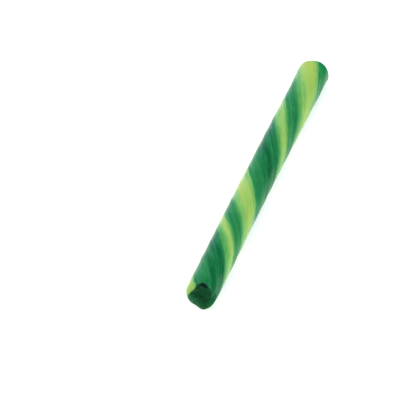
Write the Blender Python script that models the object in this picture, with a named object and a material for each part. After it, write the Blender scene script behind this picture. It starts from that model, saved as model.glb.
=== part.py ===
# An old-fashioned hard candy stick: a rope of dark green sugar with a wide and a narrow lime stripe, pulled
# and twisted by hand, cut at both ends and laid on its side to set. Metres, +Z up. The rope runs along X, with
# the end that is chipped at -X. The origin is on the surface it lies on, below the middle of the rope.
#
# Two angles are used, both in degrees. The round angle says where a point is on the section: 0 on top, growing
# towards -Y, 180 underneath. The rope angle says which strand of the rope a point is on, and turns with the
# twist.
import math

import bmesh
import bpy
import numpy as np
from mathutils import Matrix, Vector

LENGTH = 0.127
DIAMETER = 0.0102
WAIST = 0.00016          # how much thinner the rope is where it was pulled most
WAIST_PLACE = 0.003      # where along X it is thinnest
BOW = 0.0004             # how far the middle bends towards +Y
REST_FLAT = 0.0025       # width of the flat strip that set against the table

TURN_PITCHES = (0.0745, 0.0525, 0.0615, 0.0795, 0.0785)  # length of one turn, in equal steps from end to end
TWIST_SAMPLES = 401      # places along the rope where the twist is worked out
COLUMN_STEP = 9          # degrees of rope angle from one strand of the mesh to the next
PATTERN_START = -253     # rope angle where the narrow lime stripe begins
STRIPES = (("lime", 45), ("green", 63), ("lime", 99), ("green", 153))  # degrees round the rope, 360 in all

SEAM_DEPTH = 0.00006     # the groove where two stripes meet
SEAM_HALF_WIDTH = 7      # degrees
RIDGE_COUNT = 7          # low strands left by the pulling
RIDGE_HEIGHT = 0.00005

# What is worn or pinched at a rim is given as its size, the round angle of its middle and how narrow it is.
NEAR_RIM = 0.00025       # rounding of the near end's rim, and how much rounder it is where it is worn
NEAR_RIM_WEAR = ((0.0021, -54, 2), (0.0028, 84, 6))
NEAR_PINCH = ((0.00042, 104, 8),)  # how much thinner the rope was pinched as it was cut
PINCH_REACH = 0.0042     # how far along the rope the pinch fades away
NEAR_BREAK = 0.0012      # how far the near cut broke back, the round angle there, and over how many degrees
NEAR_BREAK_AT = -149
NEAR_BREAK_SPREAD = 33
RIM_BLEND = 0.004        # how far behind the near rim the rings even out
FAR_RIM = 0.0008
FAR_RIM_WEAR = ((0.0008, -75, 1), (0.0007, 118, 9))
FAR_SWELL = ((0.00034, -100, 3),)  # how much thicker the rope was pressed as the far end was cut
SWELL_FROM_END = 0.0025  # how far from the far end its middle is
SWELL_REACH = 0.0038
FACE_DISH = 0.0003       # how far the middle of a cut face sinks in

CHIP_AT = 13             # round angle of the chip in the near rim
CHIP_FROM_END = 0.0009   # how far behind the near cut its middle is
CHIP_INSET = 0.0006      # from the outside of the rope to its middle
CHIP_RADIUS = 0.00115
CHIP_STRETCH = 1.5       # how much wider it is, round the rim
CHIP_DEPTH = 0.0011

RIM_STEPS = 5
END_STEP = 0.0006        # ring spacing close behind a rim, where the chip is
END_STRETCH = 0.0042
BODY_STEP = 0.0019       # ring spacing along the rest
FACE_RINGS = (0.78, 0.52, 0.26)  # rings of a cut face, as shares of its radius
SMOOTH_ANGLE = 40        # edges sharper than this stay sharp in the shading

COLOURS = {"green": (0.012, 0.150, 0.046), "lime": (0.330, 0.560, 0.085)}
GLOSS_ROUGHNESS = 0.28

RADIUS = DIAMETER / 2
COLUMNS = 360 // COLUMN_STEP
FLAT_HALF_ANGLE = math.degrees(math.asin(REST_FLAT / 2 / RADIUS))


def clear_scene():
    for leftover in list(bpy.data.objects):
        bpy.data.objects.remove(leftover)


def wrapped(angle):
    """The angle between -180 and 180."""
    return (angle + 180) % 360 - 180


def twist_table():
    """Places along X, and how many degrees the rope has turned there since the middle."""
    places = np.linspace(-LENGTH / 2, LENGTH / 2, TWIST_SAMPLES)
    stations = np.linspace(-LENGTH / 2, LENGTH / 2, len(TURN_PITCHES))
    rates = 360 / np.interp(places, stations, TURN_PITCHES)
    steps = (rates[1:] + rates[:-1]) / 2 * np.diff(places)
    turned = np.concatenate(([0], np.cumsum(steps)))
    return places, turned - np.interp(0, places, turned)


def stripe_borders():
    """Rope angles where one stripe ends and the next begins."""
    borders = [PATTERN_START]
    for _, width in STRIPES:
        borders.append(borders[-1] + width)
    return borders[:-1]


def stripe_colour(rope_angle):
    past_start = (rope_angle - PATTERN_START) % 360
    for colour, width in STRIPES:
        if past_start < width:
            return colour
        past_start -= width
    return STRIPES[-1][0]


def waisted_radius(x):
    return RADIUS - WAIST / 2 * math.cos(math.pi * (x - WAIST_PLACE) / LENGTH) ** 2


def rope_radius(x, rope_angle):
    """Distance from the axis to the surface of the rope, with its waist, its strands and its seams."""
    radius = waisted_radius(x) + RIDGE_HEIGHT * math.cos(math.radians(RIDGE_COUNT * rope_angle))
    for border in stripe_borders():
        away = wrapped(rope_angle - border) / SEAM_HALF_WIDTH
        radius -= SEAM_DEPTH * math.exp(-away * away)
    return radius


def axis_place(x):
    """Y and Z of the axis: a slight sideways bow, and the height that leaves the underside flat."""
    height = math.sqrt(waisted_radius(x) ** 2 - (REST_FLAT / 2) ** 2)
    return BOW * math.cos(math.pi * x / LENGTH), height


def around_rim(round_angle, marks):
    """How much there is of these marks at one round angle of a rim."""
    total = 0.0
    for size, middle, narrowness in marks:
        facing = (1 + math.cos(math.radians(round_angle - middle))) / 2
        total += size * facing**narrowness
    return total


def strand_ends(rope_angle, twist):
    """One strand of the rope: its rope angle, and what the rims and the ends of the rope are like there."""
    near_angle = rope_angle - np.interp(-LENGTH / 2, *twist)
    far_angle = rope_angle - np.interp(LENGTH / 2, *twist)
    from_break = wrapped(near_angle - NEAR_BREAK_AT) / NEAR_BREAK_SPREAD
    return {
        "rope_angle": rope_angle,
        "near_rim": NEAR_RIM + around_rim(near_angle, NEAR_RIM_WEAR),
        "far_rim": FAR_RIM + around_rim(far_angle, FAR_RIM_WEAR),
        "broken": NEAR_BREAK * math.exp(-from_break * from_break),
        "pinch": around_rim(near_angle, NEAR_PINCH),
        "swell": around_rim(far_angle, FAR_SWELL),
    }


def surface_point(x, strand, twist, share=1.0, rim_turn=90, end=0):
    """One point of a ring. share scales it towards the axis, rim_turn is how far round the rim's quarter circle
    it is, from 0 at the cut face to 90 at the side, and end is -1 at the near end, 1 at the far end, else 0."""
    rim = strand["far_rim"] if end > 0 else strand["near_rim"]
    turn = math.radians(rim_turn)
    if end:
        x -= end * (rim * (1 - math.cos(turn)) + FACE_DISH * (1 - share**2))
    else:
        behind_rim = x + LENGTH / 2 - NEAR_RIM
        x += (rim + strand["broken"] - NEAR_RIM) * math.exp(-behind_rim / RIM_BLEND)
    if end < 0:
        x += strand["broken"] * share**2

    # Columns beside the flat strip are moved onto its edges, so that it is straight.
    round_angle = wrapped(strand["rope_angle"] - float(np.interp(x, *twist)))
    below = 180 - abs(round_angle)
    if abs(below - FLAT_HALF_ANGLE) < COLUMN_STEP / 2:
        round_angle = math.copysign(180 - FLAT_HALF_ANGLE, round_angle)
        below = FLAT_HALF_ANGLE

    pinch = strand["pinch"] * math.exp(-(((x + LENGTH / 2) / PINCH_REACH) ** 2))
    swell = strand["swell"] * math.exp(-(((x + SWELL_FROM_END - LENGTH / 2) / SWELL_REACH) ** 2))
    radius = rope_radius(x, strand["rope_angle"]) - pinch + swell
    radius = (radius - rim * (1 - math.sin(turn))) * share
    across = -radius * math.sin(math.radians(round_angle))
    up = radius * math.cos(math.radians(round_angle))
    side, height = axis_place(x)
    z = max(height + up, 0.0)
    if not end and below <= FLAT_HALF_ANGLE:
        z = 0.0
    return Vector((x, side + across, z))


def ring_places():
    """X of the rings between the two rims, closer together near the ends."""
    near = -LENGTH / 2 + NEAR_RIM
    far = LENGTH / 2 - FAR_RIM - max(size for size, _, _ in FAR_RIM_WEAR)
    close_near = np.arange(near + END_STEP, near + END_STRETCH, END_STEP)
    body_start = close_near[-1] + END_STEP
    body_end = far - END_STEP
    count = round((body_end - body_start) / BODY_STEP) + 1
    return [*close_near, *np.linspace(body_start, body_end, count)]


def chip(point):
    """Pushes a point of the near end inward where the rim has a chip, the deepest in its middle."""
    side, height = axis_place(-LENGTH / 2)
    turn = math.radians(CHIP_AT)
    outward = Vector((0, -math.sin(turn), math.cos(turn)))
    around = Vector((0, -math.cos(turn), -math.sin(turn)))
    middle = Vector((CHIP_FROM_END - LENGTH / 2, side, height)) + outward * (RADIUS - CHIP_INSET)
    offset = point - middle
    offset -= around * offset.dot(around) * (1 - 1 / CHIP_STRETCH)
    away = offset.length / CHIP_RADIUS
    if away >= 1:
        return point
    inward = (Vector((1, 0, 0)) - outward).normalized()
    return point + inward * CHIP_DEPTH * (1 - away**2) ** 2


def rope_rings():
    """Every ring of the rope from the near face to the far face, each a list of one point for each strand."""
    twist = twist_table()
    strands = [strand_ends(PATTERN_START + k * COLUMN_STEP, twist) for k in range(COLUMNS)]
    rim_turns = [90 * k / RIM_STEPS for k in range(RIM_STEPS + 1)]

    def ring(x, **options):
        return [surface_point(x, strand, twist, **options) for strand in strands]

    near, far = -LENGTH / 2, LENGTH / 2
    rings = [ring(near, share=share, rim_turn=0, end=-1) for share in reversed(FACE_RINGS)]
    rings += [ring(near, rim_turn=turn, end=-1) for turn in rim_turns]
    rings += [ring(x) for x in ring_places()]
    rings += [ring(far, rim_turn=turn, end=1) for turn in reversed(rim_turns)]
    rings += [ring(far, share=share, rim_turn=0, end=1) for share in FACE_RINGS]
    return rings


def striped_material(colour):
    material = bpy.data.materials.new(f"{colour}_sugar")
    material.use_nodes = True
    shader = material.node_tree.nodes["Principled BSDF"]
    shader.inputs["Base Color"].default_value = (*COLOURS[colour], 1.0)
    shader.inputs["Roughness"].default_value = GLOSS_ROUGHNESS
    shader.inputs["Metallic"].default_value = 0.0
    material.diffuse_color = (*COLOURS[colour], 1.0)
    return material


def face_centre(ring):
    """The middle of a cut face, a little deeper than the ring round it."""
    middle = sum(ring, Vector()) / len(ring)
    deeper = FACE_DISH * FACE_RINGS[-1] ** 2
    middle.x -= math.copysign(deeper, middle.x)
    return middle


def candy_stick():
    mesh = bpy.data.meshes.new("candy_stick")
    slots = sorted(COLOURS)
    for colour in slots:
        mesh.materials.append(striped_material(colour))
    colours = [stripe_colour(PATTERN_START + (k + 0.5) * COLUMN_STEP) for k in range(COLUMNS)]

    rings = rope_rings()
    build = bmesh.new()
    points = [[build.verts.new(chip(point)) for point in ring] for ring in rings]
    for before, after in zip(points, points[1:]):
        for k, colour in enumerate(colours):
            beside = (k + 1) % COLUMNS
            face = build.faces.new((before[k], after[k], after[beside], before[beside]))
            face.material_index = slots.index(colour)
    for end_points, ring in ((points[0], rings[0]), (points[-1], rings[-1])):
        middle = build.verts.new(face_centre(ring))
        for k in range(COLUMNS):
            face = build.faces.new((end_points[k], end_points[(k + 1) % COLUMNS], middle))
            face.material_index = slots.index("green")
    bmesh.ops.recalc_face_normals(build, faces=build.faces)
    build.to_mesh(mesh)
    build.free()

    # The origin goes below the middle of the stick's box.
    corners = np.array([vertex.co for vertex in mesh.vertices])
    middle = (corners.min(axis=0) + corners.max(axis=0)) / 2
    mesh.transform(Matrix.Translation((-middle[0], -middle[1], 0.0)))
    mesh.shade_smooth()
    mesh.set_sharp_from_angle(angle=math.radians(SMOOTH_ANGLE))
    stick = bpy.data.objects.new("candy_stick", mesh)
    bpy.context.scene.collection.objects.link(stick)
    return stick


clear_scene()
candy_stick()
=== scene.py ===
import math

import bpy
import numpy as np
from mathutils import Matrix, Vector


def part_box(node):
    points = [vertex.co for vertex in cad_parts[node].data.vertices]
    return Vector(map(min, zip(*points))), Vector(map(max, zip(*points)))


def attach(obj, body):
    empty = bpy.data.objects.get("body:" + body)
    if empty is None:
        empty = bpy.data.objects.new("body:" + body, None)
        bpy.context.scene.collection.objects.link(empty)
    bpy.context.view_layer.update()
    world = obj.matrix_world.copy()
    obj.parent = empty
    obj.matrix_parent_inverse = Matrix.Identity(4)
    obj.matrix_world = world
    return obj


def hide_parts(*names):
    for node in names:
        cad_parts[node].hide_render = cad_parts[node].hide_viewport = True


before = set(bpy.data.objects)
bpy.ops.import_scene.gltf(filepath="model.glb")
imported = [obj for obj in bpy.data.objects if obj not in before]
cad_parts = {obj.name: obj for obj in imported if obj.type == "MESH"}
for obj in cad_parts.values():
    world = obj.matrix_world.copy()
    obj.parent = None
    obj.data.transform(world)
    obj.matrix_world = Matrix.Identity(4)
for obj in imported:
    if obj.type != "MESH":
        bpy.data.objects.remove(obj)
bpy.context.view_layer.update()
stickLow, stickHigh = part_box("candy_stick")
print("frame loaded, the stick is", round((stickHigh.x - stickLow.x) * 1000, 1), "mm long")


fullTurn = 2 * math.pi
brightRoom = 1.12            # the light on the stick, bright enough to show the pale floor as pure white
waveLengths = (0.6, 1.6)     # the shortest and longest waves of uneven sugar, by their usual size
usualWaves = 28


def shown(red, green, blue):
    # the colour, in linear light, of a surface that shows like this, 0 to 255, in the bright room
    linear = []
    for part in (red, green, blue):
        part = part / 255
        linear.append(part / 12.92 if part <= 0.04045 else ((part + 0.055) / 1.055) ** 2.4)
    return (*(part / brightRoom for part in linear), 1.0)


def uneven(points, kind):
    # smooth random heights at these points, made of plane waves; with "along" below 1 they are drawn out
    # along the rope
    dice = np.random.default_rng(kind["seed"])
    points = points * (kind.get("along", 1), 1, 1)
    waves = kind.get("waves", usualWaves)
    total = np.zeros(len(points))
    for _ in range(waves):
        direction = dice.normal(size=3)
        direction /= np.linalg.norm(direction)
        waveLength = kind["size"] * dice.uniform(*waveLengths)
        total += np.sin(points @ direction * (fullTurn / waveLength) + dice.uniform(0, fullTurn))
    return kind["height"] * (total / math.sqrt(waves / 2))


def smoothStep(value, start, end):
    step = np.clip((value - start) / (end - start), 0, 1)
    return step * step * (3 - 2 * step)


def wrapped(angle):
    return (angle + 180) % 360 - 180


def facing(angle, middle):
    # 1 where the angle is at the middle, down to 0 on the other side
    return (1 + np.cos(np.radians(angle - middle))) / 2


# The rope of sugar has the waist, bow, twist, rims and flat strip of the CAD node, with a finer surface.
# Round angles are 0 on top and grow towards -Y. Rope angles belong to a strand and turn with the twist.
rope = {
    "length": 0.127,
    "radius": 0.0051,
    "waist": 0.00008,              # how much less the radius is where the rope was pulled most
    "waistPlace": 0.003,           # where that is, from the middle of the rope
    "bow": 0.0004,                 # how far the middle bends towards +Y
    "restFlat": 0.0025,            # width of the flat strip underneath
    "flatFade": 14,                # degrees beside it in which the relief comes up
    # length of a turn of the twist, in equal steps from end to end
    "turnPitches": (0.0745, 0.0525, 0.0615, 0.0795, 0.0785),
    "turnSamples": 401,
    "patternStart": -253,          # rope angle where the narrow lime stripe begins
    "stripeWidths": (45, 63, 99, 153),
    "seamDepth": 0.00006,          # groove where two stripes meet
    "seamHalfWidth": 7,
    "ridgeCount": 7,               # low strands left by the pulling
    "ridgeHeight": 0.00005,
    # worn and pressed places round an end are given by how much, where and how narrow
    "nearRim": 0.00025,            # rounding of the near rim, and how much more where it is worn
    "nearRimWear": ((0.0021, -54, 2), (0.0028, 84, 6)),
    "rimBlend": 0.004,             # how far behind the near rim the rings even out
    "nearBreak": 0.0012,           # how far the near cut broke back, where, and over how many degrees
    "nearBreakAt": -149,
    "nearBreakSpread": 33,
    "nearPinch": ((0.00042, 104, 8),),  # where the rope was pinched thinner as it was cut, and how far back
    "pinchReach": 0.0042,
    "nearDrag": 7,                 # degrees that the cut dragged the skin round, and how far back
    "dragReach": 0.0030,
    "farRim": 0.0008,
    "farRimWear": ((0.0008, -75, 1), (0.0007, 118, 9)),
    "farRimRoom": 1.15,            # room for the far rim between the rings of the side and the end
    "farSwell": ((0.00034, -100, 3),),  # where the rope was pressed thicker as it was cut
    "swellFromEnd": 0.0025,        # how far from the end its middle is, and how far it reaches
    "swellReach": 0.0038,
    # degrees round a rim that the cut reaches: at least, and more by how much, where and how narrow
    "nearCutReach": (8, ((56, 13, 12), (18, 52, 8), (22, 88, 4), (50, -140, 5))),
    "farCutReach": (18, ()),
    "cutFeather": 16,
    "faceDish": 0.0003,
    "faceFade": 0.12,              # share of the radius in which a cut face gets smooth towards its rim
    # the mesh: points round the rope, and rings along its side, in a rim and in a face
    "strands": 180,
    "rings": 410,
    "rimRings": 9,
    "faceRings": 24,
    # hand-made unevenness, fine strands, and broken sugar on the cut faces in broad waves and in grains
    "lumps": {"height": 0.00003, "size": 0.006, "along": 0.3, "seed": 11},
    "streaks": {"height": 0.000012, "size": 0.0011, "along": 0.045, "seed": 12, "waves": 60},
    "rimUneven": {"height": 0.12, "size": 0.004, "seed": 13},
    "faceSwell": {"height": 0.00014, "size": 0.0032, "seed": 14},
    "faceGrain": {"height": 0.000045, "size": 0.0007, "seed": 15},
}

# bubbles that opened at the surface; they are longer than they are wide, because the rope was pulled
pits = {
    "count": 46,
    "seed": 18,
    "farthest": 0.49,              # from the middle of the rope, by its length
    "widths": (0.00025, 0.0005),
    "stretches": (1.3, 4),
    "depths": (0.08, 0.2),         # by the width
    "steepness": 2,
}

chip = {
    "roundAngle": 13,              # where on the near rim
    "fromEnd": 0.0009,             # how far behind the near cut its middle is
    "radius": 0.00115,
    "stretch": 1.5,                # how much wider it is, round the rim
    "depth": 0.0011,
    "inset": 0.0006,               # from the outside of the rope to the middle of the chip
    "outline": {"height": 0.10, "size": 0.0011, "seed": 20},
    "floor": {"height": 0.00008, "size": 0.0007, "seed": 21},
}

# the skin is laid out in four squares of the baked picture
squares = {
    "count": 4,
    "side": 0.5,
    "margin": 0.006,
    "past": 0.008,                 # how far the middle of a cut face lies past its square, in squares
}


def aroundRim(angle, places):
    # the sum of what happens at these places round a rim, each with how much, where and how narrow
    return sum(size * facing(angle, middle) ** narrowness for size, middle, narrowness in places)


def turnsAlong(x):
    # degrees that the rope has turned since its middle
    places = np.linspace(-rope["length"] / 2, rope["length"] / 2, rope["turnSamples"])
    stations = np.linspace(places[0], places[-1], len(rope["turnPitches"]))
    rates = 360 / np.interp(places, stations, rope["turnPitches"])
    turned = np.concatenate(([0], np.cumsum((rates[1:] + rates[:-1]) / 2 * np.diff(places))))
    return np.interp(x, places, turned - np.interp(0, places, turned))


def waistedRadius(x):
    return rope["radius"] - rope["waist"] * np.cos(math.pi * (x - rope["waistPlace"]) / rope["length"]) ** 2


def seamGrooves(ropeAngle):
    borders = rope["patternStart"] + np.concatenate(([0], np.cumsum(rope["stripeWidths"])[:-1]))
    away = wrapped(ropeAngle[:, None] - borders[None, :]) / rope["seamHalfWidth"]
    return rope["seamDepth"] * np.exp(-away * away).sum(axis=1)


def pitDepths(x, strandDegrees):
    dice = np.random.default_rng(pits["seed"])
    depth = np.zeros(len(x))
    for _ in range(pits["count"]):
        atX = dice.uniform(-pits["farthest"], pits["farthest"]) * rope["length"]
        atAngle = dice.uniform(0, 360)
        width = dice.uniform(*pits["widths"])
        reach = width * dice.uniform(*pits["stretches"])
        sink = width * dice.uniform(*pits["depths"])
        around = np.radians(wrapped(strandDegrees - atAngle)) * rope["radius"]
        away = ((x - atX) / reach) ** 2 + (around / width) ** 2
        depth += sink * np.exp(-away * pits["steepness"])
    return depth


def profileRings():
    # the rings from the middle of the near face to the middle of the far one: where each is along the rope,
    # its share of the radius, how far round a rim it is (90 on the side), and which end it belongs to
    half = rope["length"] / 2
    shares = np.linspace(0, 1, rope["faceRings"] + 1)[1:-1]
    rimTurns = np.linspace(0, 90, rope["rimRings"])
    nearSide = -half + rope["nearRim"]
    farSide = half - rope["farRimRoom"] * (rope["farRim"] + max(size for size, _, _ in rope["farRimWear"]))
    side = np.linspace(nearSide, farSide, rope["rings"] + 2)[1:-1]
    rings = [(-half, share, 0, -1) for share in shares]
    rings += [(-half, 1, turn, -1) for turn in rimTurns]
    rings += [(x, 1, 90, 0) for x in side]
    rings += [(half, 1, turn, 1) for turn in rimTurns[::-1]]
    rings += [(half, share, 0, 1) for share in shares[::-1]]
    return np.array(rings)


def chipPush(points):
    # how the chip pushes the points of the near rim inward, and how deep in it each of them is, 0 to 1
    height = math.sqrt(rope["radius"] ** 2 - (rope["restFlat"] / 2) ** 2)
    out = rope["radius"] - chip["inset"]
    turn = math.radians(chip["roundAngle"])
    along = chip["fromEnd"] - rope["length"] / 2
    middle = np.array((along, -out * math.sin(turn), height + out * math.cos(turn)))
    around = np.array((0, -math.cos(turn), -math.sin(turn)))
    offset = points - middle
    offset -= (offset @ around)[:, None] * around * (1 - 1 / chip["stretch"])
    away = np.linalg.norm(offset, axis=1) / chip["radius"]
    away = away * (1 + uneven(points, chip["outline"]))
    inward = np.array((1, math.sin(turn), -math.cos(turn))) / math.sqrt(2)
    depth = np.clip(1 - away**2, 0, 1) ** 2
    push = chip["depth"] * depth + uneven(points, chip["floor"]) * depth**0.5
    return inward * push[:, None], depth**0.5


def ropePoints():
    # every point of the rope, ring after ring, with marks that the finishes read: its place on the strands
    # before the twist, its place on the cut, how deep in the chip it is and how much of it is on the cut
    rings = profileRings()
    ringCount, strandCount = len(rings), rope["strands"]
    x, share, rimTurn, end = (np.repeat(column, strandCount) for column in rings.T)
    rimTurn = np.radians(rimTurn)
    strandDegrees = np.tile(np.arange(strandCount) * 360 / strandCount, ringCount)
    strandAngle = np.radians(strandDegrees)
    ropeAngle = rope["patternStart"] + strandDegrees
    aroundY, aroundZ = rope["radius"] * np.cos(strandAngle), rope["radius"] * np.sin(strandAngle)

    # the rims, each as round as it is where its strand ends
    half = rope["length"] / 2
    nearAngle = ropeAngle - turnsAlong(-half)
    farAngle = ropeAngle - turnsAlong(half)
    nearRim = rope["nearRim"] + aroundRim(nearAngle, rope["nearRimWear"])
    farRim = rope["farRim"] + aroundRim(farAngle, rope["farRimWear"])
    rim = np.where(end > 0, farRim, nearRim)
    rimX = np.where(end > 0, half, -half)
    rim *= 1 + uneven(np.stack((rimX, aroundY, aroundZ), axis=1), rope["rimUneven"])
    broken = wrapped(nearAngle - rope["nearBreakAt"]) / rope["nearBreakSpread"]
    broken = rope["nearBreak"] * np.exp(-broken * broken) * (end <= 0)
    onRim = end * (rim * (1 - np.cos(rimTurn)) + rope["faceDish"] * (1 - share**2)) - broken * share**2
    onSide = (rim + broken - rope["nearRim"]) * np.exp(-(x + half - rope["nearRim"]) / rope["rimBlend"])
    x = np.where(end != 0, x - onRim, x + onSide)
    roundAngle = wrapped(ropeAngle - turnsAlong(x))

    # columns beside the flat strip are moved onto its edges, so that it is straight
    flatHalf = math.degrees(math.asin(rope["restFlat"] / 2 / rope["radius"]))
    halfStrand = 180 / strandCount
    below = 180 - np.abs(roundAngle)
    onEdge = np.abs(below - flatHalf) < halfStrand
    roundAngle = np.where(onEdge, np.sign(roundAngle) * (180 - flatHalf), roundAngle)
    below = np.where(onEdge, flatHalf, below)

    # strands and streaks run straight on the rope as it was before the twist
    straight = np.stack((x, aroundY, aroundZ), axis=1)
    loose = smoothStep(below, flatHalf, flatHalf + rope["flatFade"])
    radius = waistedRadius(x)
    radius += rope["ridgeHeight"] * np.cos(np.radians(rope["ridgeCount"] * ropeAngle))
    radius -= seamGrooves(ropeAngle)
    radius += uneven(straight, rope["lumps"]) * loose
    radius += uneven(straight, rope["streaks"]) * loose
    radius -= pitDepths(x, strandDegrees) * loose
    radius -= aroundRim(nearAngle, rope["nearPinch"]) * np.exp(-((x + half) / rope["pinchReach"]) ** 2)
    fromSwell = (x + rope["swellFromEnd"] - half) / rope["swellReach"]
    radius += aroundRim(farAngle, rope["farSwell"]) * np.exp(-fromSwell * fromSwell)
    radius = (radius - rim * (1 - np.sin(rimTurn))) * share

    across = -radius * np.sin(np.radians(roundAngle))
    up = radius * np.cos(np.radians(roundAngle))
    height = np.sqrt(waistedRadius(x) ** 2 - (rope["restFlat"] / 2) ** 2)
    side = rope["bow"] * np.cos(math.pi * x / rope["length"])
    facePlace = np.stack((end, across, up), axis=1)
    grain = uneven(facePlace, rope["faceSwell"]) + uneven(facePlace, rope["faceGrain"])
    x = x + grain * smoothStep(1 - share, 0, rope["faceFade"]) * np.abs(end)

    hair = 1e-6    # degrees
    z = np.maximum(height + up, 0)
    z = np.where((end == 0) & (below <= flatHalf + hair), 0, z)
    points = np.stack((x, side + across, z), axis=1)
    push, chipDepth = chipPush(points)
    strandAngle = strandAngle - np.radians(rope["nearDrag"] * np.exp(-(x + half) / rope["dragReach"]))
    strandY, strandZ = share * np.cos(strandAngle), share * np.sin(strandAngle)
    strandPlace = np.stack((straight[:, 0], strandY, strandZ), axis=1)
    cutPlace = np.stack((end, across / rope["radius"], up / rope["radius"]), axis=1)

    # how much of a point is on the cut
    reaches = ((rope["nearCutReach"], nearAngle), (rope["farCutReach"], farAngle))
    nearReach, farReach = (reach + aroundRim(angle, places) for (reach, places), angle in reaches)
    inside = np.where(end > 0, farReach, nearReach) - np.degrees(rimTurn)
    cutShare = smoothStep(inside, -rope["cutFeather"] / 2, rope["cutFeather"] / 2) * np.abs(end)
    marks = {"strandPlace": strandPlace, "cutPlace": cutPlace, "chipDepth": chipDepth, "cutShare": cutShare}
    return points + push, marks, rings


def withMiddles(values):
    # these values of the points, and those of the middles of the two faces
    nearRing, farRing = values[:rope["strands"]], values[-rope["strands"]:]
    return np.concatenate((values, [nearRing.mean(axis=0), farRing.mean(axis=0)]))


def ringsAlong(points, ringCount):
    # how far along the skin each ring is, 0 to 1
    grid = points.reshape(ringCount, rope["strands"], 3)
    steps = np.linalg.norm(np.diff(grid, axis=0), axis=2).mean(axis=1)
    along = np.concatenate(([0], np.cumsum(steps)))
    return along / along[-1]


def inSquare(number, u, v):
    # a place in one of the squares
    left, bottom = squares["side"] * (number % 2), squares["side"] * (number // 2)
    inner = squares["side"] - 2 * squares["margin"]
    return left + squares["margin"] + u * inner, bottom + squares["margin"] + v * inner


def buildStick():
    points, marks, rings = ropePoints()
    ringCount, strandCount = len(rings), rope["strands"]
    along = ringsAlong(points, ringCount) * squares["count"]
    lastSquare = squares["count"] - 1

    faces, corners, finishes = [], [], []
    for ring in range(ringCount - 1):
        number = min(int(along[ring]), lastSquare)
        low = along[ring] - number
        high = min(along[ring + 1] - number, 1.0)
        onCut = int(rings[ring][1] < 1 or rings[ring + 1][1] < 1)
        here, there = ring * strandCount, (ring + 1) * strandCount
        for strand in range(strandCount):
            beside = (strand + 1) % strandCount
            faces.append((here + strand, here + beside, there + beside, there + strand))
            u, nextU = strand / strandCount, (strand + 1) / strandCount
            corners += [inSquare(number, u, low), inSquare(number, nextU, low)]
            corners += [inSquare(number, nextU, high), inSquare(number, u, high)]
            finishes.append(onCut)

    # the middles of the two cut faces
    points = withMiddles(points)
    nearMiddle, farMiddle = len(points) - 2, len(points) - 1
    lastRing = (ringCount - 1) * strandCount
    before, after = -squares["past"], 1 + squares["past"]
    for strand in range(strandCount):
        beside = (strand + 1) % strandCount
        u, nextU = strand / strandCount, (strand + 1) / strandCount
        middleU = (u + nextU) / 2
        faces.append((beside, strand, nearMiddle))
        corners += [inSquare(0, nextU, 0), inSquare(0, u, 0), inSquare(0, middleU, before)]
        faces.append((lastRing + strand, lastRing + beside, farMiddle))
        corners += [inSquare(lastSquare, u, 1), inSquare(lastSquare, nextU, 1)]
        corners.append(inSquare(lastSquare, middleU, after))
        finishes += [1, 1]

    mesh = bpy.data.meshes.new("sugarRope")
    mesh.from_pydata(points.tolist(), [], faces)
    mesh.polygons.foreach_set("material_index", finishes)
    for name, values in marks.items():
        kind, field = ("FLOAT_VECTOR", "vector") if values.ndim > 1 else ("FLOAT", "value")
        mark = mesh.attributes.new(name, kind, "POINT")
        mark.data.foreach_set(field, withMiddles(values).astype(np.float32).ravel())
    layout = mesh.uv_layers.new(name="OFBake")
    layout.uv.foreach_set("vector", np.array(corners, np.float32).ravel())

    # the skin goes where the CAD node is
    middle = (Vector(points.min(axis=0)) + Vector(points.max(axis=0))) / 2
    target = (stickLow + stickHigh) / 2
    mesh.transform(Matrix.Translation((target.x - middle.x, target.y - middle.y, 0)))
    mesh.shade_smooth()
    stick = bpy.data.objects.new("sugarRope", mesh)
    bpy.context.scene.collection.objects.link(stick)
    return stick


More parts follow.
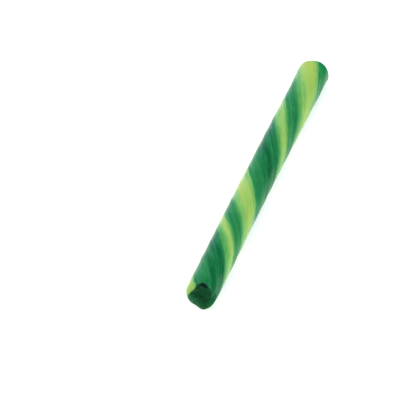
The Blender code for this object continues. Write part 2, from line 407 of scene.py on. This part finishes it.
class Wire:
    # one socket of a material; sums and products of wires add their Math nodes
    swingGain = 3.6    # noise stays near its middle, so a swing stretches it

    def __init__(self, tree, socket=None):
        self.tree = tree
        self.socket = socket

    def node(self, kind, settings=None, values=None, output=0):
        made = self.tree.nodes.new("ShaderNode" + kind)
        for name, setting in (settings or {}).items():
            if name == "stops":
                fillRamp(made.color_ramp, setting)
            else:
                setattr(made, name, setting)
        for name, value in (values or {}).items():
            if isinstance(value, Wire):
                self.tree.links.new(value.socket, made.inputs[name])
            else:
                made.inputs[name].default_value = value
        return Wire(self.tree, made.outputs[output])

    def sum(self, operation, first, second=0.0, clamp=False):
        return self.node("Math", {"operation": operation, "use_clamp": clamp}, {0: first, 1: second})

    def __add__(self, other):
        return self.sum("ADD", self, other)

    def __radd__(self, other):
        return self.sum("ADD", other, self)

    def __sub__(self, other):
        return self.sum("SUBTRACT", self, other)

    def __rsub__(self, other):
        return self.sum("SUBTRACT", other, self)

    def __mul__(self, other):
        return self.sum("MULTIPLY", self, other)

    def __rmul__(self, other):
        return self.sum("MULTIPLY", other, self)

    def __truediv__(self, other):
        return self.sum("DIVIDE", self, other)

    def __rtruediv__(self, other):
        return self.sum("DIVIDE", other, self)

    def clamped(self):
        return self.sum("ADD", self, 0.0, clamp=True)

    def between(self, start, end):
        # 0 below start, 1 above end, smooth between
        limits = {"From Min": start, "From Max": end}
        return self.node("MapRange", {"interpolation_type": "SMOOTHSTEP"}, {"Value": self, **limits})

    def ramp(self, stops):
        return self.node("ValToRGB", {"stops": stops}, {"Fac": self})

    def scaled(self, factors):
        return self.node("VectorMath", {"operation": "MULTIPLY"}, {0: self, 1: factors})

    def noise(self, scale, detail=2.0, roughness=0.5):
        # cloudy noise at this place, 0 to 1
        values = {"Vector": self, "Scale": scale, "Detail": detail, "Roughness": roughness}
        return self.node("TexNoise", {}, values)

    def swing(self, scale, detail=2.0, roughness=0.5):
        # the same, but from about -1 to 1
        return (self.noise(scale, detail, roughness) - 0.5) * self.swingGain

    def facets(self, scale):
        # small facets at this place, deeper away from the middle of each
        return self.node("TexVoronoi", {"feature": "F1"}, {"Vector": self, "Scale": scale})

    def mixed(self, other, amount):
        # this colour, and the other one by amount; the colours of a Mix node are its sockets 6 and 7
        return self.node("Mix", {"data_type": "RGBA"}, {0: amount, 6: self, 7: other}, output=2)


def fillRamp(colorRamp, stops):
    # stops are (place, value or colour)
    while len(colorRamp.elements) < len(stops):
        colorRamp.elements.new(0.5)
    for element, (place, value) in zip(colorRamp.elements, stops):
        element.position = place
        element.color = value if isinstance(value, tuple) else (value, value, value, 1.0)


# Noises are given by scale, detail and roughness. A band is where something starts and where it is full.
sugar = {
    # how much green dye there is, by the share of a turn from the start of the narrow lime stripe
    "dyeRound": (
        (0.000, 0.54), (0.022, 0.45), (0.046, 0.34), (0.067, 0.24), (0.092, 0.13), (0.114, 0.18),
        (0.134, 0.37), (0.150, 0.56), (0.165, 0.71), (0.182, 0.74), (0.258, 0.77), (0.278, 0.73),
        (0.299, 0.58), (0.321, 0.43), (0.345, 0.36), (0.370, 0.28), (0.400, 0.15), (0.432, 0.10),
        (0.480, 0.07), (0.512, 0.09), (0.532, 0.17), (0.553, 0.27), (0.568, 0.44), (0.583, 0.66),
        (0.598, 0.76), (0.645, 0.75), (0.675, 0.80), (0.742, 0.77), (0.800, 0.90), (0.962, 0.90),
        (0.986, 0.76), (0.999, 0.56),
    ),
    # what the sugar looks like with more and more dye
    "dyeColours": (
        (0.00, shown(176, 205, 98)),
        (0.08, shown(169, 206, 104)),
        (0.20, shown(150, 200, 108)),
        (0.34, shown(123, 187, 103)),
        (0.46, shown(98, 174, 93)),
        (0.58, shown(75, 157, 84)),
        (0.70, shown(50, 142, 80)),
        (0.82, shown(36, 129, 76)),
        (0.92, shown(26, 116, 68)),
        (1.00, shown(12, 97, 54)),
    ),
    # what turns places before the twist into millimetres; less along the rope draws the noise out
    "evenScale": (1000.0, 5.0, 5.0),
    "streakScale": (45.0, 5.0, 5.0),
    "fineStreakScale": (60.0, 5.0, 5.0),
    "cloudScale": (130.0, 5.0, 5.0),
    "streakNoise": (1.1, 3.0, 0.6),
    "fineStreakNoise": (4.5, 2.0, 0.6),
    "cloudNoise": (0.35, 2.0, 0.5),
    "patchNoise": (0.28, 3.0, 0.55),
    "borderWander": 0.010,         # how far a border strays, as a share of a turn
    "borderFeather": 0.014,
    "streakDye": 0.200,            # how much the dye swings from streak to streak
    "fineStreakDye": 0.100,
    "patchDye": 0.060,
    "cutDye": 0.10,                # how much more dye there is close to the near cut, and how far back
    "cutDyeReach": 0.007,
    "cutDyeBand": (0.45, 0.75),
    "glow": shown(4, 146, 74),     # the green close to the far cut, where light comes in through the cut
    "glowing": 0.58,
    "glowStreaks": 0.25,
    "glowReach": 0.012,
    "glowBand": (0.45, 0.70),
    "limeBand": (0.10, 0.34),      # the dye with which the sugar stops being lime
    "yellow": shown(190, 198, 70),
    "yellowing": 0.45,
    "yellowBand": (-0.3, 0.9),
    "thread": shown(196, 222, 150),  # pale threads of air drawn out by the pulling
    "threads": 0.16,
    "threadBand": (0.55, 0.95),
    "threadStreaks": 0.5,          # how much they follow the broad streaks
    "threadFade": 0.7,             # how much fainter they are in the dark sugar
    "roughness": 0.19,
    "streakRoughness": 0.05,
    "patchRoughness": 0.06,
    "bump": 0.00008,
    "bumpStrength": 0.4,
    "streakRelief": 0.14,
    "fineStreakRelief": 0.10,
    "grainRelief": 0.25,
    "grainNoise": (3.0, 3.0),
    "ior": 1.5,
    "specular": 0.08,
    "subsurface": 0.10,
    "subsurfaceRadius": (0.0007, 0.0011, 0.0004),
    "subsurfaceScale": 1.0,
}

cut = {
    # what the cut looks like from the middle of the dark core outwards, in shares of the radius; the core
    # is darker than the skin's sugar, partly as painted shade of the cut face
    "rings": (
        (0.00, shown(4, 78, 36)),
        (0.50, shown(6, 83, 40)),
        (0.75, shown(22, 98, 52)),
        (0.98, shown(34, 108, 61)),
        (1.12, shown(56, 124, 78)),
        (1.32, shown(92, 152, 108)),
    ),
    "ringsEnd": 1.40,
    "coreMiddle": (0.0, -0.30, 0.28),  # the core is off the middle, to the right and up
    "evenScale": (5.0, 5.0, 5.0),  # from shares of the radius to millimetres
    "ringWander": 0.08,
    "ringNoise": (0.6, 3.0),
    "mottle": shown(6, 42, 16),
    "mottling": 0.62,
    "mottleNoise": (0.7, 4.0, 0.60),
    "mottleBand": (0.42, 0.66),
    "paintedGlint": shown(84, 146, 106),  # painted glints: small faces of broken sugar that catch the light
    "glinting": 0.28,
    "glintNoise": (1.3, 4.0, 0.65),
    "glintBand": (0.54, 0.72),
    "paintedChipShade": shown(6, 42, 36),      # painted shade: the chip's glassy floor is darkened as if in shadow; its edge gets a painted highlight
    "chipShadeBand": (0.34, 0.60),
    # painted highlight along the rim of the chip, where the broken sugar is also paler
    "paintedChipHighlight": shown(76, 152, 108),
    "chipHighlighting": 0.45,
    "chipHighlightBand": (0.02, 0.35),
    "edgeRagged": 0.10,            # how much the edge of the cut strays on the skin
    "edgeNoise": (0.9, 3.0),
    "edgeBand": (0.2, 0.8),
    "roughness": 0.62,
    "patchRoughness": 0.10,
    "patchNoise": (1.5, 3.0),
    "relief": 2.2,                 # how much coarser it is than the skin
    "reliefNoise": (1.6, 4.0, 0.65),
    "facets": ((2.3, 1.5), (5.5, 0.5)),  # small broken faces, by their scale and how deep they are
    "specular": 0.05,
}


def placeMark(start, name):
    return start.node("Attribute", {"attribute_name": name}, output=1)


def amountMark(start, name):
    return start.node("Attribute", {"attribute_name": name}, output=2)


def strandFields(start):
    # what the finish of the skin reads: places on the rope before the twist, and the noises there
    place = placeMark(start, "strandPlace")
    x, y, z = (place.node("SeparateXYZ", {}, {0: place}, output=k) for k in (0, 1, 2))
    even = place.scaled(sugar["evenScale"])
    half = rope["length"] / 2
    return {
        "nearCut": 1 - (x + half).between(0.0, sugar["cutDyeReach"]),
        "farCut": (x - half + sugar["glowReach"]).between(0.0, sugar["glowReach"]),
        "angle": y.sum("ARCTAN2", z, y),
        "even": even,
        "streaks": place.scaled(sugar["streakScale"]).swing(*sugar["streakNoise"]),
        "fineStreaks": place.scaled(sugar["fineStreakScale"]).swing(*sugar["fineStreakNoise"]),
        "clouds": place.scaled(sugar["cloudScale"]).swing(*sugar["cloudNoise"]),
        "patches": even.swing(*sugar["patchNoise"]),
    }


def dyedSugar(fields):
    # the stripes, whose borders wander and feather out in strands
    streaks, fineStreaks = fields["streaks"], fields["fineStreaks"]
    clouds, patches = fields["clouds"], fields["patches"]
    stray = clouds * sugar["borderWander"] + streaks * sugar["borderFeather"]
    turnShare = stray.sum("FRACT", fields["angle"] / fullTurn + 1 + stray)
    dye = turnShare.ramp(sugar["dyeRound"])
    dye = dye + streaks * sugar["streakDye"] + fineStreaks * sugar["fineStreakDye"]
    dye = dye + patches * sugar["patchDye"]
    dye = (dye + fields["nearCut"] * dye.between(*sugar["cutDyeBand"]) * sugar["cutDye"]).clamped()

    colour = dye.ramp(sugar["dyeColours"])
    glow = sugar["glowing"] + fineStreaks * sugar["glowStreaks"]
    colour = colour.mixed(sugar["glow"], fields["farCut"] * dye.between(*sugar["glowBand"]) * glow)
    lime = 1 - dye.between(*sugar["limeBand"])
    yellowed = (clouds + patches).between(*sugar["yellowBand"]) * lime * sugar["yellowing"]
    colour = colour.mixed(sugar["yellow"], yellowed)
    threads = (fineStreaks + streaks * sugar["threadStreaks"]).between(*sugar["threadBand"])
    threads = threads * sugar["threads"] * (1 - dye * sugar["threadFade"])
    return colour.mixed(sugar["thread"], threads)


def skinSurface(fields):
    streaks, fineStreaks, patches = fields["streaks"], fields["fineStreaks"], fields["patches"]
    roughness = sugar["roughness"] + streaks * sugar["streakRoughness"] + patches * sugar["patchRoughness"]
    relief = streaks * sugar["streakRelief"] + fineStreaks * sugar["fineStreakRelief"]
    relief = relief + fields["even"].noise(*sugar["grainNoise"]) * sugar["grainRelief"]
    return dyedSugar(fields), roughness, relief


def cutSurface(start):
    # the dark core inside a paler jacket, mottled where the sugar broke; the core's darkness is partly
    # painted shade
    place = placeMark(start, "cutPlace")
    even = place.scaled(cut["evenScale"])
    offCore = place.node("VectorMath", {"operation": "SUBTRACT"}, {0: place, 1: cut["coreMiddle"]})
    offCore = offCore.scaled((0.0, 1.0, 1.0))
    fromCore = offCore.node("VectorMath", {"operation": "LENGTH"}, {0: offCore}, output=1)
    fromCore = fromCore + even.swing(*cut["ringNoise"]) * cut["ringWander"]
    rings = [(reach / cut["ringsEnd"], shade) for reach, shade in cut["rings"]]
    colour = (fromCore / cut["ringsEnd"]).ramp(rings)
    mottled = even.noise(*cut["mottleNoise"]).between(*cut["mottleBand"]) * cut["mottling"]
    # painted glints on the broken sugar
    glinted = even.noise(*cut["glintNoise"]).between(*cut["glintBand"]) * cut["glinting"]
    colour = colour.mixed(cut["mottle"], mottled).mixed(cut["paintedGlint"], glinted)
    roughness = cut["roughness"] + even.swing(*cut["patchNoise"]) * cut["patchRoughness"]
    relief = even.noise(*cut["reliefNoise"]) * cut["relief"]
    for scale, depth in cut["facets"]:
        relief = relief + even.facets(scale) * depth
    return colour, roughness, relief


def paintChipShade(start, colour):
    # painted shade on the glassy floor of the chip, darker the deeper it lies
    return colour.mixed(cut["paintedChipShade"], amountMark(start, "chipDepth").between(*cut["chipShadeBand"]))


def skinFinish(start):
    # the skin, and round the rims the edge of the cut
    fields = strandFields(start)
    colour, roughness, relief = skinSurface(fields)
    cutColour, cutRoughness, cutRelief = cutSurface(start)
    ragged = fields["even"].swing(*cut["edgeNoise"]) * cut["edgeRagged"]
    onCut = (amountMark(start, "cutShare") + ragged).between(*cut["edgeBand"])
    # a painted highlight round the rim of the chip
    chipRimHighlight = amountMark(start, "chipDepth").between(*cut["chipHighlightBand"]) * (1 - onCut)
    colour = colour.mixed(cut["paintedChipHighlight"], chipRimHighlight * cut["chipHighlighting"])
    colour = paintChipShade(start, colour.mixed(cutColour, onCut))
    return colour, roughness + (cutRoughness - roughness) * onCut, relief + (cutRelief - relief) * onCut


def cutFinish(start):
    colour, roughness, relief = cutSurface(start)
    return paintChipShade(start, colour), roughness, relief


def sugarMaterial(name, finish, specular):
    material = bpy.data.materials.new(name)
    material.use_nodes = True
    tree = material.node_tree
    shader = tree.nodes["Principled BSDF"]
    colour, roughness, relief = finish(Wire(tree))
    bumpValues = {"Strength": sugar["bumpStrength"], "Distance": sugar["bump"], "Height": relief}
    bump = relief.node("Bump", {}, bumpValues)
    for socket, wire in (("Base Color", colour), ("Roughness", roughness), ("Normal", bump)):
        tree.links.new(wire.socket, shader.inputs[socket])
    shader.inputs["Specular IOR Level"].default_value = specular
    shader.inputs["IOR"].default_value = sugar["ior"]
    shader.inputs["Subsurface Weight"].default_value = sugar["subsurface"]
    shader.inputs["Subsurface Radius"].default_value = sugar["subsurfaceRadius"]
    shader.inputs["Subsurface Scale"].default_value = sugar["subsurfaceScale"]
    return material


stick = buildStick()
stick.data.materials.append(sugarMaterial("pulledSugar", skinFinish, sugar["specular"]))
stick.data.materials.append(sugarMaterial("brokenSugar", cutFinish, cut["specular"]))
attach(stick, "root")
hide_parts("candy_stick")
print("stick made,", len(stick.data.polygons), "faces")


studio = {
    "floorSize": 6.0,
    "floorColour": (0.60, 0.60, 0.60, 1.0),
    "floorGlow": 1.05,             # light that the floor gives off, as a table of lit glass does
    "floorRoughness": 0.9,
    # a white sweep goes on from the lit part of the floor and turns up all round, in a quarter circle
    "sweepColour": (0.0, 0.0, 0.0, 1.0),  # it shows by its own light alone
    "sweepFrom": 0.55,
    "sweepTo": 2.9,
    "sweepHeight": 0.35,
    "sweepTurns": (15, 30, 45, 60, 75, 90),
    "sweepSides": 96,
    "sweepAbove": 0.0003,          # between the sweep and the floor
    "sweepGlow": 1.05,
    "lights": {
        "topBox": {
            "place": (0.0, 0.0, 0.80), "size": (0.7, 0.7), "watts": 2.8, "colour": (1.0, 1.0, 1.0),
        },
        "rightBox": {
            "place": (-0.05, -0.80, 0.50), "size": (0.9, 0.4), "watts": 5.9, "colour": (0.80, 0.98, 1.0),
        },
        "leftBox": {
            "place": (-0.05, 0.80, 0.50), "size": (0.9, 0.4), "watts": 7.0, "colour": (1.0, 1.0, 1.0),
        },
        "leftCard": {
            "place": (0.55, 0.46, 0.20), "size": (0.6, 0.40), "watts": 1.1, "colour": (0.42, 0.50, 1.0),
        },
    },
    "lightsAim": (0.0, 0.0, 0.005),
    "world": 0.12,
}

camera = {
    "aboutPoint": (0.00058, -0.00028, 0.005),
    "range": 1.3,                  # metres from that point
    "down": 37.425,                # how far it looks down, and how far it is turned from the stick's axis
    "turn": 16.736,
    "aimDown": 37.728,             # the same for the middle of the picture, which is beside the stick
    "aimTurn": 17.824,
    "lens": 359.4,
    "sensor": 36,
    "clipStart": 0.01,
}


def lookDirection(down, turn):
    down, turn = math.radians(down), math.radians(turn)
    return Vector((math.cos(down) * math.cos(turn), math.cos(down) * math.sin(turn), -math.sin(down)))


def stagePiece(name, points, faces, colour, glow):
    mesh = bpy.data.meshes.new(name)
    mesh.from_pydata(points, [], faces)
    material = bpy.data.materials.new(name)
    material.use_nodes = True
    shader = material.node_tree.nodes["Principled BSDF"]
    shader.inputs["Base Color"].default_value = colour
    shader.inputs["Roughness"].default_value = studio["floorRoughness"]
    shader.inputs["Specular IOR Level"].default_value = 0.0
    shader.inputs["Emission Color"].default_value = studio["floorColour"]
    shader.inputs["Emission Strength"].default_value = glow
    mesh.materials.append(material)
    piece = bpy.data.objects.new(name, mesh)
    bpy.context.scene.collection.objects.link(piece)
    return piece


def layFloor():
    reach = studio["floorSize"] / 2
    corners = [(-reach, -reach, 0), (reach, -reach, 0), (reach, reach, 0), (-reach, reach, 0)]
    stagePiece("paleFloor", corners, [(0, 1, 2, 3)], studio["floorColour"], studio["floorGlow"])


def raiseSweep():
    # rings from the floor outwards, round the bend and up; the sweep is only seen, and lights nothing
    corner = studio["sweepHeight"] / 2
    bend = studio["sweepTo"] - corner
    profile = [(studio["sweepFrom"], 0.0), (bend, 0.0)]
    for turn in np.radians(studio["sweepTurns"]):
        profile.append((bend + corner * math.sin(turn), corner * (1 - math.cos(turn))))
    profile.append((studio["sweepTo"], studio["sweepHeight"]))
    sides = studio["sweepSides"]
    points, faces = [], []
    for ring, (reach, up) in enumerate(profile):
        for side in range(sides):
            turn = side * fullTurn / sides
            points.append((reach * math.cos(turn), reach * math.sin(turn), up + studio["sweepAbove"]))
            beside = (side + 1) % sides
            if ring:
                here, before = ring * sides, (ring - 1) * sides
                faces.append((before + side, here + side, here + beside, before + beside))
    sweep = stagePiece("paleSweep", points, faces, studio["sweepColour"], studio["sweepGlow"])
    sweep.visible_diffuse = False
    sweep.visible_glossy = False
    sweep.visible_shadow = False


def hangLight(name, light):
    lamp = bpy.data.lights.new(name, "AREA")
    lamp.shape = "RECTANGLE"
    lamp.size, lamp.size_y = light["size"]
    lamp.energy = light["watts"]
    lamp.color = light["colour"]
    holder = bpy.data.objects.new(name, lamp)
    holder.location = light["place"]
    aim = Vector(studio["lightsAim"]) - holder.location
    holder.rotation_euler = aim.to_track_quat("-Z", "Y").to_euler()
    bpy.context.scene.collection.objects.link(holder)


def setCamera():
    lens = bpy.data.cameras.new("camera")
    lens.lens = camera["lens"]
    lens.sensor_width = camera["sensor"]
    lens.clip_start = camera["clipStart"]
    holder = bpy.data.objects.new("camera", lens)
    forward = lookDirection(camera["aimDown"], camera["aimTurn"])
    right = forward.cross(Vector((0, 0, 1))).normalized()
    up = right.cross(forward)
    turned = Matrix((right, up, -forward)).transposed().to_4x4()
    middle = Vector(camera["aboutPoint"])
    eye = middle - lookDirection(camera["down"], camera["turn"]) * camera["range"]
    holder.matrix_world = Matrix.Translation(eye) @ turned
    bpy.context.scene.collection.objects.link(holder)
    bpy.context.scene.camera = holder


layFloor()
raiseSweep()
for name, light in studio["lights"].items():
    hangLight(name, light)
setCamera()
world = bpy.data.worlds.new("room")
world.use_nodes = True
world.node_tree.nodes["Background"].inputs["Color"].default_value = (studio["world"],) * 3 + (1.0,)
bpy.context.scene.world = world
bpy.context.scene.view_settings.view_transform = "Standard"
print("studio ready")
